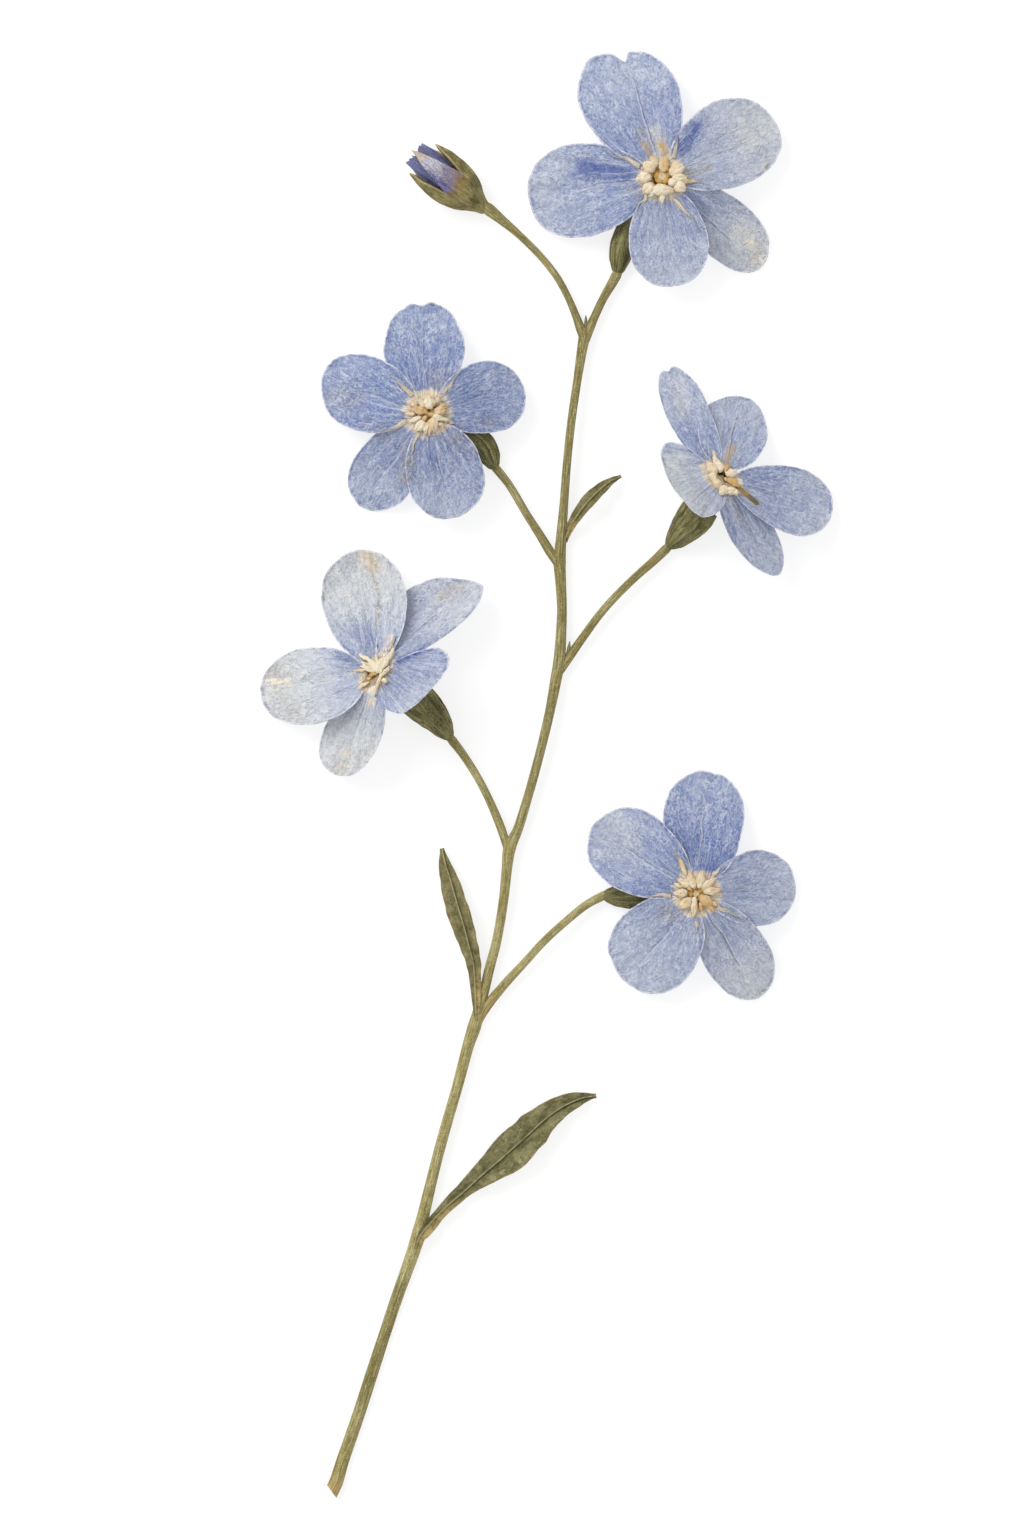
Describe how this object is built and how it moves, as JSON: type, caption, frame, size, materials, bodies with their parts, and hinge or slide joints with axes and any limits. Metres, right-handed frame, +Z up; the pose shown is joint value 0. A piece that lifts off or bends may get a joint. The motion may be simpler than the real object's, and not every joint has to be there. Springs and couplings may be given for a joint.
{
  "type": "dried myosotis sprig",
  "caption": "Dried forget-me-not sprig lying flat: a slender branching stem with open pale blue blooms, a closed bud and narrow leaves.",
  "frame": {"origin": "middle of the sprig's footprint, on the surface it lies on", "axes": "+Y along the sprig from its cut end towards its bud, +Z up from the surface, +X to the right when seen from above"},
  "size_m": [0.0276, 0.0696, 0.0053],
  "materials": {
    "stem": "dry, finely ridged",
    "leaf": "dry, matt",
    "calyx": "dry, ribbed",
    "petal": "dry, finely wrinkled",
    "bud_petal": "dry, matt",
    "scale": "waxy, matt",
    "anther": "dusty, matt",
    "pistil": "dry, matt"
  },
  "bodies": {
    "root": {"stem": "stem", "leaf_lower": "leaf", "leaf_middle": "leaf", "leaf_upper": "leaf", "calyx_1": "calyx", "corolla_1": "petal", "eye_1": "scale", "anthers_1": "anther", "pistil_1": "pistil", "calyx_2": "calyx", "corolla_2": "petal", "eye_2": "scale", "anthers_2": "anther", "pistil_2": "pistil", "calyx_3": "calyx", "corolla_3": "petal", "eye_3": "scale", "anthers_3": "anther", "pistil_3": "pistil", "calyx_4": "calyx", "corolla_4": "petal", "eye_4": "scale", "anthers_4": "anther", "pistil_4": "pistil", "calyx_5": "calyx", "corolla_5": "petal", "eye_5": "scale", "anthers_5": "anther", "pistil_5": "pistil", "bud_calyx": "calyx", "bud_corolla": "bud_petal"}
  },
  "joints": []
}
